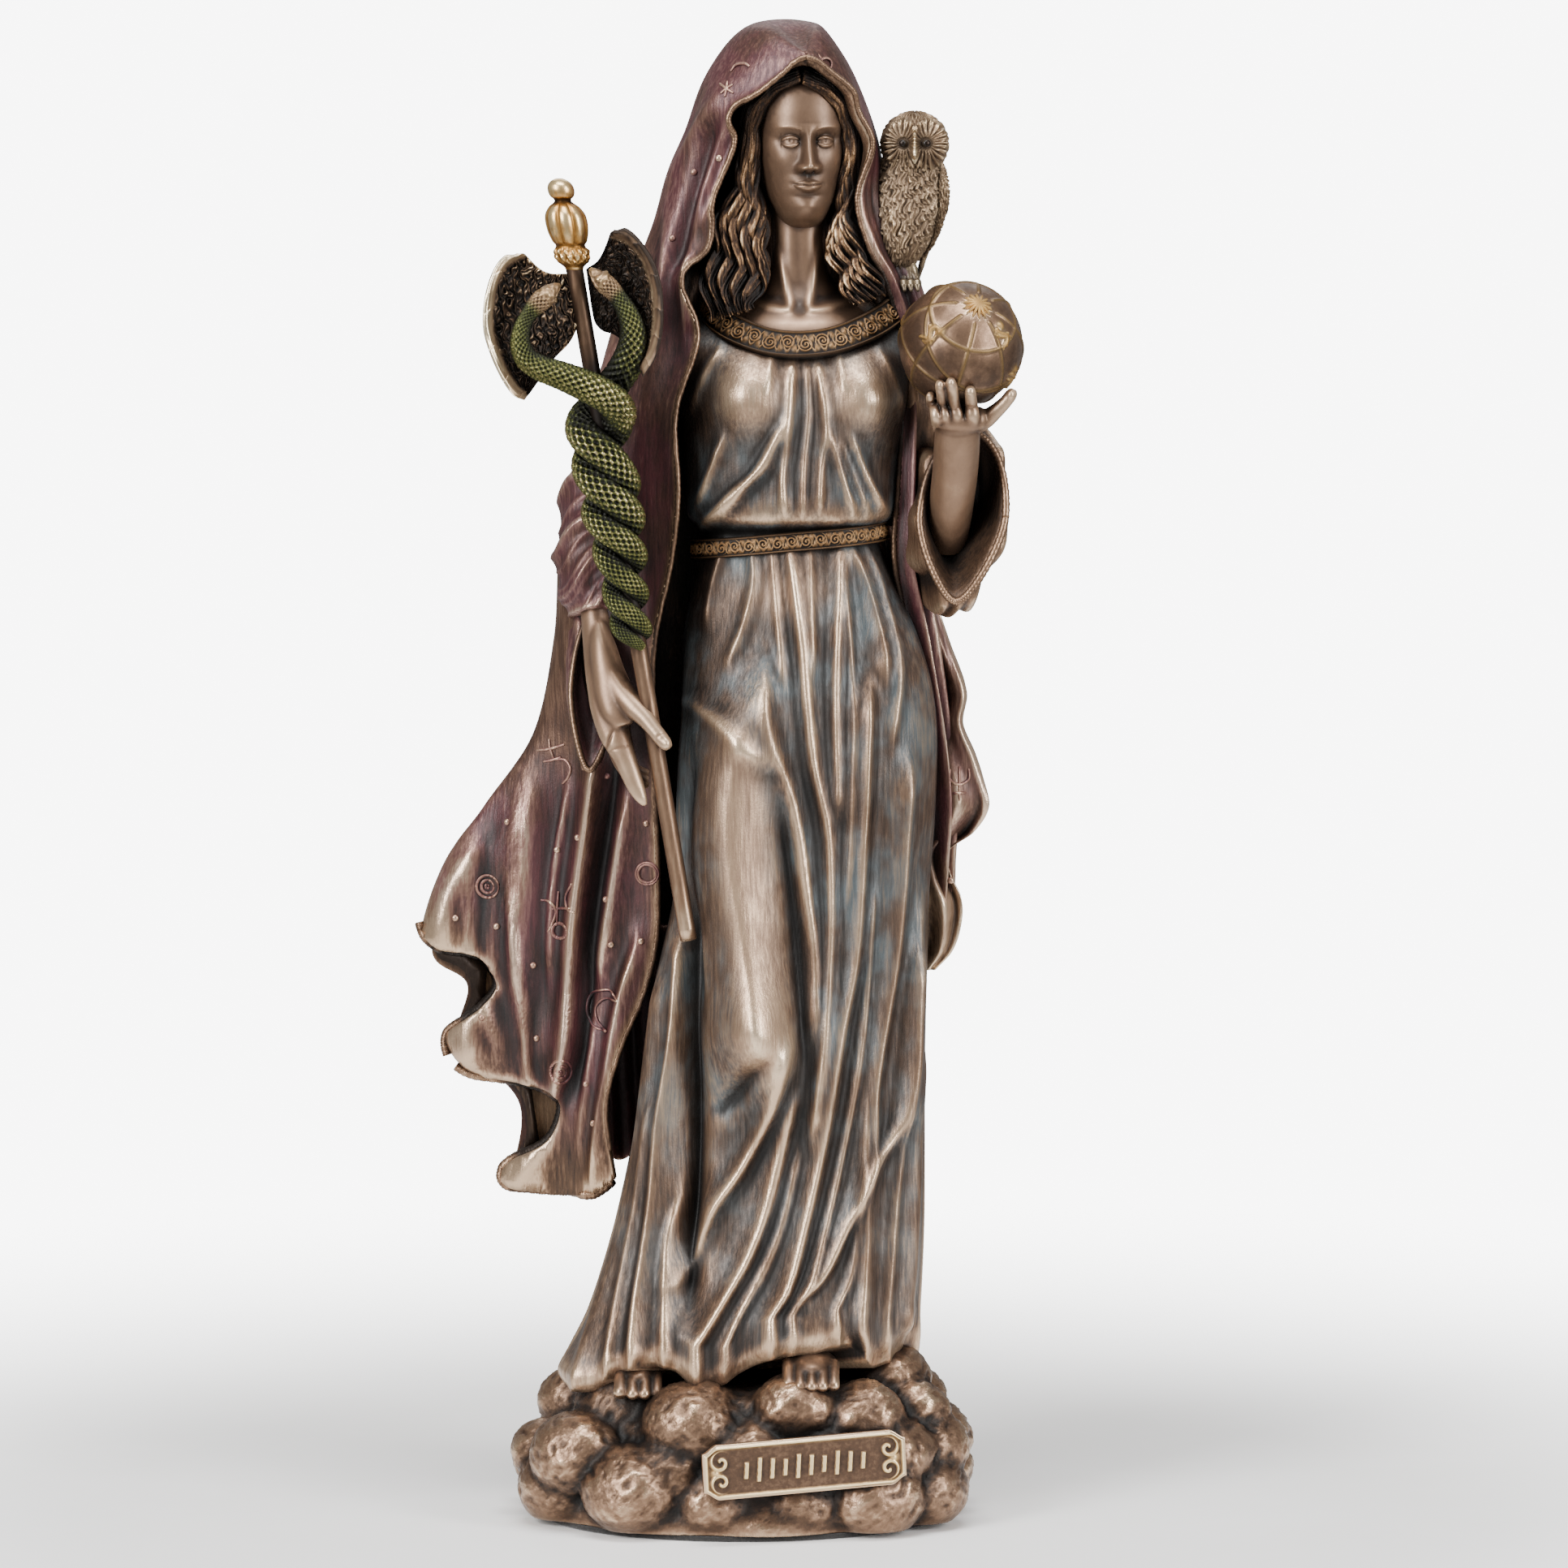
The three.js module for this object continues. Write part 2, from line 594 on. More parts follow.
// Locks of hair beside the face, each a line from the parting down to the chest.
const locks = [
  [[9, -12.6, 275.5, 1.6, 1], [2.6, -11.8, 270, 2, 1.4], [0.2, -10.2, 262, 1.8, 1.6], [0.6, -9.8, 254,
  1.9, 1.6],
    [-1, -9.6, 246, 2, 1.5], [-4.6, -10.4, 238.5, 1.9, 1.5], [-5, -12.4, 231.5, 1.3, 1.2],
    [-2.4, -14, 228.6, 0.6, 0.6]],
  [[8, -10.4, 275.5, 2, 1.4], [0.4, -9, 268, 2.2, 2], [-1.6, -8, 258, 2, 2], [-2.4, -8, 249, 2.2, 2],
    [-4.5, -9, 241, 2.2, 1.8], [-7.4, -10.6, 233, 1.8, 1.6], [-8, -12.6, 227, 0.9, 0.9]],
  [[2.4, -8, 256, 1.6, 1.8], [2, -8.4, 248, 1.9, 1.7], [0.4, -9.2, 240, 1.9, 1.6], [-1.6, -11, 233, 1.6,
  1.3],
    [-1.2, -13, 229, 0.7, 0.7]],
  [[14, -12.4, 275.5, 1.6, 1], [19, -10.6, 270.5, 1.9, 1.4], [20.6, -9.4, 262, 1.7, 1.6],
  [20, -9, 254, 1.9, 1.6],
    [18.6, -9, 247, 1.9, 1.6], [20.4, -9.8, 239, 2, 1.6], [24.6, -10, 233, 1.7, 1.4], [28, -9, 229.6, 0.8,
    0.8]],
  [[15, -10, 276, 2, 1.4], [21.6, -8, 269, 2, 2], [23, -7, 259, 1.9, 2], [22.4, -7, 249.5, 2.1, 2],
    [23.4, -7.6, 241, 2.2, 1.9], [26.6, -8, 234.5, 1.9, 1.7], [29.6, -7.6, 230, 1, 1]],
  [[18.4, -7.6, 252, 1.7, 1.8], [17.4, -8, 245, 1.8, 1.7], [18, -9.4, 238.6, 1.7, 1.4],
  [20.4, -11.6, 232.6, 1.5, 1.2],
    [23.4, -12, 230, 0.7, 0.7]],
]

function hair() {
  const cap = ball(face.x, 3.4, 262.6, 12.6, 12.6, 14.6, 10, 8)
  const nape = ball(face.x, 4, 243, 15, 10.5, 15, 8, 6)
  return [cap, nape, ...locks.map((line) => limb(line, 7, 16))]
}

// The mantle

// Sections of the hood and cloak from the brow down: rim height, back height, then x and y of the
// left rim, left side, back, right side and right rim, and how round the left side is.
const mantleStations = [
  [0, 279, 279, 11.3, -15.6, 11.3, -15.6, 11.3, -15.6, 11.3, -15.6, 11.3, -15.6, 1],
  [1, 276.6, 284.4, 8, -15.8, 4, -10, 9.5, -3, 14.6, -10, 15, -15.4, 1],
  [2, 273, 282.8, 4, -15.2, -2, -4, 9.2, 7, 17.2, -4.5, 19.8, -13.8, 1],
  [3, 268.5, 275.5, -1.8, -13.8, -7.2, 0.5, 9.6, 17.5, 21.4, 0, 22.4, -11.8, 1],
  [4, 262, 263, -1.2, -12, -10.6, 3, 9.8, 21, 25.4, 2, 25, -10.6, 1],
  [5, 252, 252, -4.8, -11.2, -13.8, 4, 10, 20.5, 27.3, 3, 22, -9.8, 1],
  [6, 243, 243, -6, -11.6, -17.4, 4, 10, 18.5, 30, 4, 24.3, -9.8, 1],
  [7, 236.5, 236.5, -10.2, -12.2, -20.4, 3.5, 10, 18, 33, 3.5, 27.5, -8.5, 1],
  [8, 226, 226, -8, -14.8, -24.8, 2.5, 10, 18.5, 35.5, 3, 30.5, -7.5, 1],
  [9, 212, 212, -12.2, -15.8, -28.6, 1, 10, 18, 36, 3, 31, -8, 1],
  [10, 197, 197, -12, -16.8, -31.5, 0, 10, 17, 35, 3, 30.5, -9, 1],
  [11, 184, 184, -13.5, -15.8, -34.5, 0, 10, 17, 34, 3, 30, -9, 0.9],
  [12, 168, 168, -16.8, -15, -35.6, 0, 9, 19.5, 36.5, 4, 33, -7, 0.7],
  [13, 150, 150, -17, -11.5, -39.6, 2, 8, 22, 38.5, 5, 36, -4, 0.4],
  [14, 136, 136, -16.6, -9.5, -49, 4, 8, 23, 39.5, 6, 37, -3, 0.1],
  [15, 124, 124, -16.2, -8, -57, 5, 8, 23.5, 39, 6, 36.5, -1, 0],
  [16, 111, 107, -16.5, -7, -61.4, 5.5, 8, 24, 38.5, 6, 36, 1, 0],
  [17, 101, 101, -18.8, -6.4, -54.6, 5.5, 8, 24, 38, 6, 36, 1, 0],
  [18, 90, 90, -23, -5.6, -56.2, 5.5, 8, 24, 38, 6, 36, 1, 0],
  [19, 78, 78, -25.3, -5, -44.5, 5.5, 4, 24, 38, 6, 36, 1, 0],
  [20, 61, 61, -24, -4.4, -46.6, 5.5, 0, 24, 38, 6, 36, 1, 0],
]

// The section at the hem: the cloak is long at the left, where it blows out, and shorter behind.
function hemKey(u) {
  return lerp(20, 16, smooth(u, 0.29, 0.44))
}

// Ridges of the hanging panel in the front view.
const panelFolds = [
  { path: [[87, -33.5], [95, -32.6], [113, -31.5], [129, -29.2], [148, -26.4]], wide: 3, high: 3.6,
      fade: 7 },
  { path: [[106, -27.2], [114, -25.6], [137, -21.8]], wide: 2.2, high: 2, fade: 7 },
  { path: [[64, -28.4], [83, -25.7], [98, -23.2], [110, -20]], wide: 2.4, high: 2.4, fade: 7 },
  { path: [[98, -43], [113, -42.4], [139, -40.5]], wide: 3.6, high: 2.2, fade: 8 },
  { path: [[108, -58], [118, -56], [128, -51]], wide: 4, high: 2.2, fade: 6 },
  { path: [[84, -52], [92, -52], [100, -50]], wide: 4, high: 2.4, fade: 5 },
  { path: [[62, -43], [70, -39], [78, -36]], wide: 4, high: 2.6, fade: 5 },
]

const cloakFolds = 9

// The smooth surface of the mantle, before its folds.
function mantleForm(key, u) {
  const row = station(mantleStations, key)
  const at = (i) => new THREE.Vector2(row[i], row[i + 1])
  const [rimLeft, left, back, right, rimRight] = [3, 5, 7, 9, 11].map(at)
  const bulge = (p, q, round, outX, outY) => new THREE.Vector2(
    (p.x + q.x) / 2 + 0.207 * round * outX * Math.abs(q.x - p.x),
    (p.y + q.y) / 2 + 0.207 * round * outY * Math.abs(q.y - p.y),
  )
  const stops = [rimLeft, bulge(rimLeft, left, row[13], -1, -1), left, bulge(left, back, row[13], -1, 1),
      back,
    bulge(back, right, 1, 1, 1), right, bulge(right, rimRight, 1, 1, -1), rimRight]
  const line = stops.map((stop, i) => [i, stop.x, stop.y])
  const [, x, y] = station(line, u * (stops.length - 1))
  const toBack = smooth(Math.sin(Math.PI * u), 0.1, 0.9)
  return vec(x, y, lerp(row[1], row[2], toBack))
}

function mantlePoint(key, u) {
  const form = mantleForm(key, u)
  const reach = 0.02
  const along = mantleForm(key, Math.min(u + reach, 1)).sub(mantleForm(key, Math.max(u - reach, 0)))
  const down = mantleForm(Math.min(key + 0.3, 20), u).sub(mantleForm(Math.max(key - 0.3, 0), u))
  const normal = new THREE.Vector3().crossVectors(along, down).normalize()
  const lowered = smooth(key, 2.5, 15)
  const ripple = lowered * 2.1 * Math.cos(cloakFolds * 2 * Math.PI * u + 0.25 * key) * smooth(u, 0.26, 0.42)
  const hoodPleat = 0.9 * smooth(key, 2, 5) * (1 - smooth(key, 9, 12)) * Math.cos(34 * u) * (1 - smooth(u,
      0.3, 0.4))
  const panel = foldHeight(panelFolds, form.x, form.z) * smooth(key, 11.5, 13.5) * (1 - smooth(u, 0.2,
      0.27))
  return { point: form.addScaledVector(normal, ripple + hoodPleat + panel), normal }
}

// The cloth is thin at its rims, in the hood and below the waist, and backed by the body between.
function mantleThick(key, u) {
  const backed = smooth(key, 5.5, 7.5) * (1 - smooth(key, 11.5, 13.5)) * smooth(Math.sin(Math.PI * u),
      0.1, 0.5)
  return clothThick + 7 * backed
}

// Outline in the front view of what is cut away below the front layer's waving hem.
function hemCutter() {
  const outline = new THREE.Shape()
  outline.moveTo(-80, 111)
  outline.lineTo(-62, 111)
  outline.splineThru([[-58, 108.3], [-50.5, 106.9], [-47, 101.6], [-50, 97.2], [-55.4, 93.2]].map(
    ([x, z]) => new THREE.Vector2(x, z),
  ))
  outline.lineTo(-60, 90)
  outline.lineTo(-57, 86.6)
  outline.splineThru([[-52, 84], [-43, 82.6], [-36.4, 80.8], [-34.8, 77.6], [-37.4, 71.6],
      [-47.4, 65.4]].map(
    ([x, z]) => new THREE.Vector2(x, z),
  ))
  outline.lineTo(-50, 62.6)
  outline.splineThru([[-43, 62.4], [-31, 61.4], [-27, 62.6], [-22, 67.4]].map(([x,
      z]) => new THREE.Vector2(x, z)))
  outline.lineTo(-18, 50)
  outline.lineTo(-80, 50)
  const cutter = new THREE.ExtrudeGeometry(outline, { depth: 30, bevelEnabled: false, curveSegments: 2 })
  cutter.rotateX(Math.PI / 2)
  cutter.translate(0, 6.4, 0)
  return outward(cutter)
}

function mantle() {
  const rows = 40
  const columns = 60
  const outer = []
  const inner = []
  for (let i = 0; i <= rows; i += 1) {
    const outerRow = []
    const innerRow = []
    for (let j = 0; j <= columns; j += 1) {
      const u = (j / columns) ** 1.15
      const key = (i / rows) ** 1.1 * hemKey(u)
      const { point, normal } = mantlePoint(key, u)
      const inward = i === 0 ? vec(0, 1.6, -2.2) : normal.multiplyScalar(-mantleThick(key, u))
      outerRow.push(point)
      innerRow.push(point.clone().add(inward))
    }
    outer.push(outerRow)
    inner.push(innerRow)
  }
  return solid(sheetSkin(outer, inner)).subtract(solid(hemCutter()))
}

// A standing sheet between an inner and an outer edge; rows are height, then the two edges.
function edgeSheet(edges, columns, depth, thick) {
  const front = edges.map(([z, inner, outer]) => {
    const row = []
    for (let j = 0; j <= columns; j += 1) {
      const x = lerp(inner, outer, j / columns)
      row.push(vec(x, depth(x, z), z))
    }
    return row
  })
  const back = front.map((row) => row.map((p) => p.clone().add(vec(0, thick, 0))))
  return sheetSkin(front, back)
}

// The fall of the mantle at the right: height, inner edge, outer edge, middle depth.
const fallEdges = [
  [104.4, 30, 36.8, 3],
  [108, 30, 40, 2],
  [113, 30, 41.7, 1],
  [118, 30, 41.8, 0],
  [123, 30, 39.6, 1],
  [127.5, 30, 39.4, 1],
  [131, 30, 44, 0],
  [136, 30, 46.9, -2],
  [141, 30, 46, -2],
  [146, 30, 44.4, -1],
  [152, 30, 42, 0],
  [158, 30, 42.7, 0],
  [167, 30, 39.6, -1],
  [175, 28, 36.8, -3],
  [183, 26, 33.4, -5],
  [190, 25, 31, -6],
]

function fall() {
  const depth = (x, z) => {
    const [, inner, outer, middle] = station(fallEdges, z)
    const t = (x - inner) / (outer - inner)
    return middle + 1.4 * Math.cos(2 * Math.PI * 1.4 * t)
  }
  return edgeSheet(fallEdges, 4, depth, clothThick + 2)
}

// The back of the mantle hangs lower behind the blown panel: height, outer edge, edge inside the robe.
const drapeEdges = [
  [68.5, -25, -14],
  [76, -27, -13],
  [86, -29, -12],
  [98, -30, -11],
  [112, -31, -10],
]

function drape() {
  const depth = (x) => 9.6 + 0.9 * Math.cos(2 * Math.PI * (x + 30) / 9)
  return edgeSheet(drapeEdges, 6, depth, clothThick + 1.4)
}

// The arms and sleeves

function rightArm() {
  const drape = limb([
    [-14, 0, 228, 8.4, 9],
    [-19.6, -1, 215, 8.2, 9],
    [-24, -2, 201, 8.2, 8.6],
    [-27.4, -4, 189, 8.4, 8.4],
    [-28.6, -8.4, 180.5, 7.6, 7.4],
    [-28.2, -12, 174.5, 6, 5.6],
  ], 16, 14)
  const lip = limb([
    [-30, -8, 174, 5.6, 5],
    [-31.4, -7, 164, 5, 4],
    [-30.6, -7, 156, 4.2, 3.2],
    [-28.6, -7, 150, 3, 2.4],
  ], 10, 6)
  const rings = [0, 1, 2, 3].map((i) => {
    const z = 196 - i * 6.4
    return limb([
      [-34 + i * 0.3, -4 - i * 1.2, z, 1, 1],
      [-30.6 + i * 0.4, -10.4 - i * 1.9, z - 2 - i, 1.3, 1.3],
      [-24.6 + i * 0.3, -9.6 - i * 2.2, z + 1.5, 0.9, 0.9],
    ], 6, 6, vec(0, 0, 1))
  })
  const forearm = limb([
    [-28.2, -7, 180, 3, 3.2],
    [-27.6, -11, 172.5, 2.8, 3],
    [-27, -14, 165, 2.8, 2.9],
    [-26.1, -16.4, 160.5, 3.2, 2.6],
    [-25, -18, 156.4, 3.6, 2.5],
    [-23.8, -19.2, 151.6, 3.1, 2.3],
    [-22, -20, 147.4, 2.3, 2],
    [-20.3, -20.6, 142.6, 2, 1.7],
    [-18.7, -20.8, 139.4, 1.2, 1.2],
  ], 12, 16)
  const thumb = limb([
    [-23.4, -19.6, 160, 1.9, 1.8],
    [-20.4, -21.6, 157.2, 2.1, 2],
    [-18, -23.2, 154.6, 1.7, 1.7],
    [-15.6, -24.4, 151.6, 1.45, 1.4],
    [-13.4, -24.9, 149.6, 0.9, 0.9],
  ], 8, 9)
  const fingers = [0, 1, 2].map((i) => limb([
    [-24.4, -17.6 + i * 1.7, 150.6 - i * 0.2, 1.5, 1.4],
    [-22.4, -18.6 + i * 1.9, 145.6 + i * 0.4, 1.35, 1.3],
    [-19.6, -17.6 + i * 1.8, 142.2 + i * 0.8, 1.2, 1.2],
    [-17.4, -16.6 + i * 1.6, 141.4 + i, 0.8, 0.8],
  ], 7, 7))
  return [drape, lip, ...rings, forearm, thumb, ...fingers]
}

// The wide left sleeve is a cup that opens to the front: middle x, y, z, half width, half height.
const cuffStations = [
  [31, 4, 211, 5, 9],
  [34.5, 2, 203, 8, 15],
  [38, -2, 194, 9.6, 19.6],
  [40.4, -7, 191.2, 9.4, 18.4],
  [41.6, -11.4, 191.6, 8.6, 16.8],
  [41.9, -12.6, 192.2, 7.2, 15.2],
  [41.4, -10, 193, 6, 13.4],
  [40, -4, 194, 4.4, 10],
]

function leftArm() {
  const upper = limb([[28, 1, 229, 8, 9], [31, 1, 220, 8.4, 9.4], [33, 1.4, 209, 7.6, 8.4]], 12, 5)
  const rings = cuffStations.map(([x, y, z, wide, tall], i) => {
    const ring = []
    for (let j = 0; j < 22; j += 1) {
      const angle = (j / 22) * 2 * Math.PI
      const down = Math.sin(angle)
      const lean = 1.6 * down
      const narrow = 1 - 0.16 * Math.max(-down, 0)
      const tilt = i > 1 ? 3.4 * down : 0
      ring.push(vec(x + lean + wide * narrow * Math.cos(angle), y + tilt, z + tall * down))
    }
    return ring
  })
  const forearm = limb([
    [38.4, -4, 187, 4.2, 4.4],
    [39.2, -9.6, 194, 4.3, 4.3],
    [40, -15.2, 201.5, 4.35, 4.1],
    [40.3, -19.6, 207.6, 4.3, 3.7],
    [40.5, -21.6, 210.4, 4.9, 3.6],
    [40.6, -21.4, 212, 4.7, 3.4],
  ], 12, 10)
  const reach = globe.radius + 1
  const fingers = [[35.2, 216.2], [36.9, 218.6], [38.9, 219.1], [42.5, 217.5]].map(([x, tipZ], i) => {
    const rootX = [36.4, 38.2, 40.4, 43.2][i]
    const onGlobe = (fx, z, lift) => {
      const away = reach + lift
      return globe.y - Math.sqrt(Math.max(away ** 2 - (fx - globe.x) ** 2 - (z - globe.z) ** 2, 0))
    }
    return limb([
      [rootX, globe.y - 4.6, 210, 1.25, 1.5],
      [lerp(rootX, x, 0.4), onGlobe(lerp(rootX, x, 0.4), 213.6, 0.4), 212.8, 1.2, 1.25],
      [lerp(rootX, x, 0.8), onGlobe(lerp(rootX, x, 0.8), 215.2, 0.1), 215.2, 1.1, 1.1],
      [x, onGlobe(x, tipZ, -0.2), tipZ, 0.85, 0.85],
    ], 7, 7)
  })
  const thumb = limb([
    [43.8, -21, 210.4, 1.9, 1.9],
    [46.4, -21.6, 211.8, 1.7, 1.7],
    [49, -22.4, 214, 1.3, 1.3],
    [50.8, -23, 216.4, 0.95, 0.95],
  ], 8, 8)
  return [upper, ringSkin(rings), forearm, ...fingers, thumb]
}

// The feet and the clouds

function feet() {
  const parts = []
  const makeFoot = (x, y, z, wide, toes) => {
    parts.push(ball(x, y + 7, z + 0.6, wide, 9, 3, 8, 5))
    for (let i = 0; i < toes; i += 1) {
      const t = i / (toes - 1)
      const toeX = x - wide * 0.86 + 2 * wide * 0.86 * t
      parts.push(ball(toeX, y - 0.6 - 1.2 * Math.sin(Math.PI * t), z - 0.4, 1.25, 2.2, 1.3, 5, 4))
    }
  }
  makeFoot(13.1, -24, 29.6, 5, 5)
  makeFoot(-19.6, -19.6, 27.4, 4, 4)
  return parts
}

// Billows of cloud: x, y, z and half width, those that show at the front and then those behind.
const frontLobes = [
  [-37, -4, 12.6, 7.4], [-31, -17, 14.4, 9.4], [-33.4, -11, 6.8, 9.6], [-20, -24, 8.4, 10.4],
  [-9, -21, 20.4, 10.4],
  [-22, -10, 21.4, 10], [-14, -24, 11.6, 8.4], [-5, -24, 6.4, 9.6], [1, -23.5, 15, 9.4], [10, -22, 23.4,
  8.6],
  [10, -25, 6, 10], [14, -24.5, 14, 10], [22.6, -20, 21.4, 8.6], [24.6, -22.8, 7, 10], [28.4, -7, 27, 7.6],
  [28, -20, 15, 8.6], [34, -12, 14.6, 9], [33.6, -15, 7, 9.4], [36.4, -2, 9, 7.6], [33, -12, 22, 6.6],
]
const rearLobes = [
  [36, 6, 14, 8], [30, 15, 9, 10], [18, 20, 8, 10.6], [3, 21.6, 8.4, 10.4], [-12, 21, 8, 10.6],
  [-25, 17, 9, 10.4],
  [-35, 7, 9, 9], [-31, 8, 20, 8.6], [-18, 14, 20.4, 10], [2, 16, 20.6, 10], [20, 12, 20.4, 10.4],
  [31, 4, 21.4, 8],
]

function clouds() {
  const levels = [[castBottom, 0.97], [3, 0.98], [6, 0.93], [12, 0.86], [20, 0.8], [25, 0.7], [27, 0.56]]
  const core = ringSkin(levels.map(([z, grow]) => {
    const ring = []
    for (let j = 0; j < 36; j += 1) {
      const angle = (j / 36) * 2 * Math.PI
      const billow = 1 + 0.025 * Math.cos(9 * angle)
      ring.push(vec(base.x + base.halfWide * grow * billow * Math.cos(angle),
        base.y + base.halfDeep * grow * billow * Math.sin(angle), z))
    }
    return ring
  }))
  const lobes = [...frontLobes, ...rearLobes].map(([x, y, z, size]) => ball(x, y, z, size, size * 0.95,
      size * 0.84, 16, 12))
  return [core, ...lobes]
}

// The staff, its wings and snakes

function rodAt(z) {
  return rodTip.clone().lerp(rodTop, (z - rodTip.z) / (rodTop.z - rodTip.z))
}

function finial(grow) {
  const along = rodTop.clone().sub(rodTip).normalize()
  const profile = [
    [-3.6, 1.9], [-2.6, 2.9], [-1, 3.1], [0.2, 2.9], [0.8, 2.7], [2.4, 3.4], [5, 3.75], [7, 3.3], [8.4, 2.4],
    [9.2, 1.9], [10, 2.3], [11.2, 2.5], [12.6, 2], [13.4, 0.9],
  ]
  const rings = profile.map(([up, radius], row) => {
    const middle = rodTop.clone().addScaledVector(along, up)
    const ring = []
    for (let j = 0; j < 10; j += 1) {
      const angle = (j / 10) * 2 * Math.PI
      const flute = row > 4 && row < 9 ? 1 - 0.14 * (j % 2) : 1
      const r = radius * flute + grow
      ring.push(middle.clone().add(vec(r * Math.cos(angle), r * Math.sin(angle), 0)))
    }
    return ring
  })
  return ringSkin(rings)
}

// Wings from shoulder to tip: x, z and depth before the rod's axis, at the root and at the outer edge.
const wings = [
  [
    [-32.2, 238.6, 0.6, -41.6, 244.1, 5], [-31.2, 235.6, 0.4, -45.3, 240.9, 6.6],
    [-30.6, 232.3, 0.4, -47.4, 235.5, 7.8], [-30.5, 229.2, 0.5, -47.9, 229.4, 8.5],
    [-32, 225.9, 0.9, -46.7, 224.5, 8.7], [-34.7, 223.1, 2.6, -44.6, 219.7, 8.6],
    [-37.3, 219.5, 5, -42.4, 216.5, 8.3], [-39.3, 216.7, 7, -40.3, 215.5, 7.8],
  ],
  [
    [-28.9, 239.5, 0.6, -23.6, 248.4, 3], [-28.6, 237.4, 0.4, -19.9, 246.4, 4.6],
    [-28.3, 235, 0.4, -16.5, 241.9, 5.8], [-27.9, 232.3, 0.5, -14.8, 236.8, 6.5],
    [-27.3, 229.7, 0.8, -14.4, 231.8, 6.8], [-25.8, 228.1, 1.6, -14.7, 227.7, 6.8],
    [-22.9, 227, 3.4, -15.9, 223.4, 6.6], [-19.5, 222.5, 5.6, -18.3, 219.7, 6.2],
  ],
]

const wingRows = 14

function wing(rows, grow) {
  const table = rows.map((row, i) => [i, ...row])
  const front = []
  const back = []
  for (let i = 0; i <= wingRows; i += 1) {
    const [, ax, az, ay, bx, bz, by] = station(table, (i / wingRows) * (rows.length - 1))
    const frontRow = []
    const backRow = []
    for (let j = 0; j <= 4; j += 1) {
      const t = j / 4
      const cup = 2.2 * Math.sin(Math.PI * t)
      const barb = 0.5 * (i % 2) * (t < 0.9 ? 1 : -1)
      const rim = 0.9 * smooth(t, 0.75, 1)
      const x = lerp(ax, bx, t)
      const z = lerp(az, bz, t)
      const y = rodAt(z).y - lerp(ay, by, t) + cup + barb
      const thick = 1.3 + rim
      frontRow.push(vec(x, y - rim - grow, z))
      backRow.push(vec(x, y - rim + thick + grow, z))
    }
    front.push(frontRow)
    back.push(backRow)
  }
  return sheetSkin(front, back)
}

// The snakes wind down the rod after their own line from the head: quarter turns from the right side
// by way of the back, height, distance from the rod's axis and radius of the body.
const leftCoils = [
  [0, 210.8, 3.6, 2.8], [1, 206.8, 3.3, 2.8], [2, 202.2, 3.2, 2.7], [3, 197.6, 3.2, 2.7],
  [4, 193, 3.2, 2.6], [5, 189.6, 3, 2.4], [6, 186, 2.6, 2.15], [7, 182, 2.4, 1.95], [8, 178.8, 2.4, 1.8],
  [9, 176, 2.4, 1.7], [10, 172.6, 2.4, 1.5], [11, 169.9, 2.2, 1.2], [11.6, 168.3, 2, 0.7],
]
const rightCoils = [
  [1, 213.6, 3.2, 2.75], [2, 209.6, 3.1, 2.75], [3, 205.7, 3.1, 2.8], [4, 199.6, 3.3, 2.7],
  [5, 196.8, 3.3, 2.6], [6, 193.6, 3.2, 2.4], [7, 189.8, 3.2, 2.3], [8, 185.8, 3, 2.1],
  [9, 182.6, 2.8, 1.95], [10, 178.4, 2.5, 1.8], [11, 175.2, 2.4, 1.7], [12, 171.8, 2.3, 1.4],
  [13, 170, 2.2, 0.8],
]
const coilShift = -0.7

function snake(headLine, coils, grow) {
  const line = headLine.map(([x, ahead, z, r]) => [x, rodAt(z).y - ahead, z, r + grow, r + grow])
  const [first] = coils[0]
  const [last] = coils[coils.length - 1]
  for (let quarter = first; quarter <= last; quarter += 1 / 3) {
    const [, z, wind, body] = station(coils, quarter)
    const middle = rodAt(z)
    const angle = (quarter * Math.PI) / 2
    line.push([middle.x + coilShift + wind * Math.cos(angle), middle.y + wind * Math.sin(angle), z,
        body + grow, body + grow])
  }
  return limb(line, 6, Math.round(line.length * 1.15), vec(0, 1, 0))
}

function caduceus(grow) {
  const rod = limb([
    [rodTip.x, rodTip.y, rodTip.z, rodRadius + grow, rodRadius + grow],
    [rodTop.x, rodTop.y, rodTop.z, rodRadius + grow, rodRadius + grow],
  ], 10, 1)
  const leftHead = [
    [-33.9, 7.5, 236.7, 0.7], [-36, 8.4, 235.1, 1.85], [-37.8, 8.9, 233.4, 1.75], [-39.4, 9.2, 231.5, 1.5],
    [-40.6, 9.5, 229.1, 1.6], [-40.9, 9.6, 226.1, 1.8], [-39.8, 9.6, 223.4, 2], [-37.1, 9.6, 221.6, 2.2],
    [-33.6, 9.3, 220.3, 2.4], [-30.2, 8.8, 218.9, 2.6], [-26.7, 7.8, 217.2, 2.75], [-23.9, 6, 215.2, 2.8],
    [-22.6, 3.2, 212.9, 2.8],
  ]
  const rightHead = [
    [-27.8, 3.7, 239.5, 0.7], [-25.7, 4.4, 237.4, 1.85], [-24.2, 4.6, 236.1, 1.7], [-22.8, 4.7, 234.4, 1.6],
    [-21.3, 4.7, 231.9, 1.8], [-20.3, 4.4, 229.1, 2.15], [-20.1, 3.8, 226.1, 2.45],
    [-20.9, 2.8, 223.1, 2.65], [-22.3, 1.2, 220.3, 2.75], [-24.5, -1.2, 217.3, 2.75],
  ]
  const parts = [
    rod,
    finial(grow),
    wing(wings[0], grow),
    wing(wings[1], grow),
    snake(leftHead, leftCoils, grow),
    snake(rightHead, rightCoils, grow),
  ]
  return unite(parts)
}

// The owl

